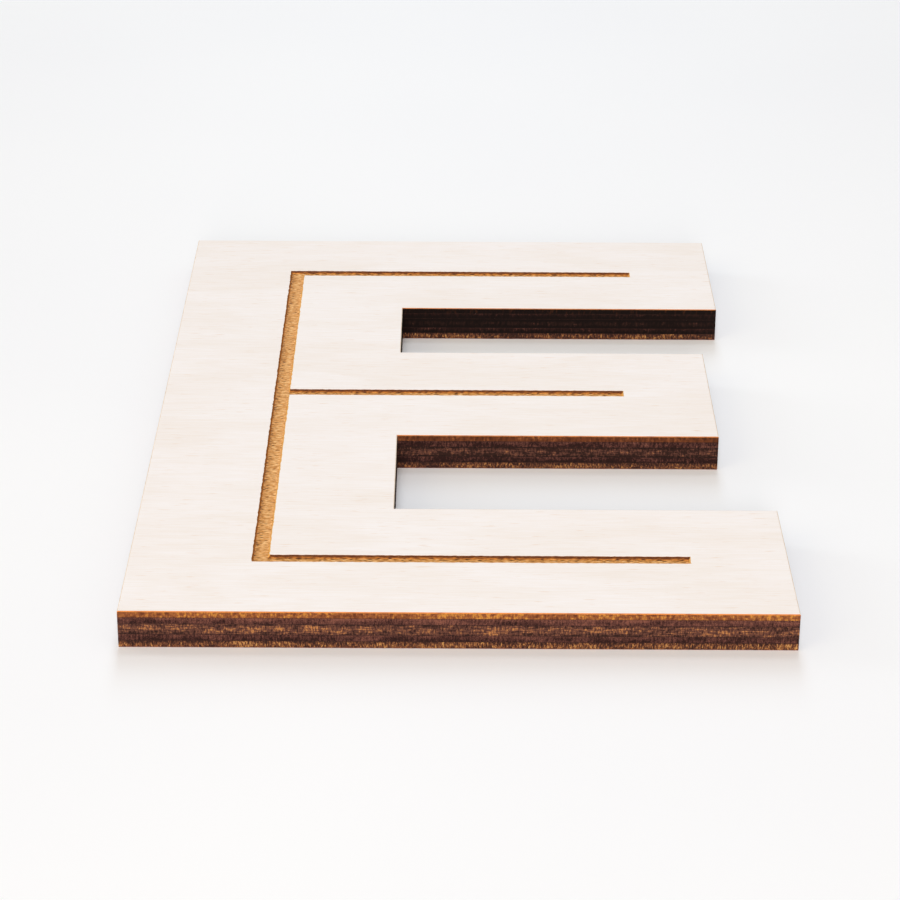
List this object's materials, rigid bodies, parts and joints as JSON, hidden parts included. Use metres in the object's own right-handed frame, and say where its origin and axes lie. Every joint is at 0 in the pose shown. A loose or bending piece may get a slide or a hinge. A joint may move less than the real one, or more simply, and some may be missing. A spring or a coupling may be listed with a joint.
{
  "type": "wooden letter",
  "caption": "Flat letter E cut from birch plywood, with a narrow engraved groove along its strokes for tracing; lies flat, stands on edge or is glued to a panel.",
  "frame": {"origin": "middle of the rectangle that the letter covers, on its back face", "axes": "+X along the arms towards their ends, +Y up the stem from the letter's foot, +Z out of the engraved face"},
  "size_m": [0.104, 0.1524, 0.0063],
  "materials": {
    "face_birch": "sanded, unvarnished birch",
    "back_birch": "sanded birch with laser-browned edges",
    "core_birch": "laser-browned edge",
    "crossband_birch": "laser-charred edge",
    "cured_glue": "cured resin, charred at the cut"
  },
  "bodies": {
    "root": {"back_veneer": "back_birch", "back_glue_line": "cured_glue", "lower_crossband": "crossband_birch", "lower_core_glue_line": "cured_glue", "core_ply": "core_birch", "upper_core_glue_line": "cured_glue", "upper_crossband": "crossband_birch", "face_glue_line": "cured_glue", "face_veneer": "face_birch"}
  },
  "joints": []
}
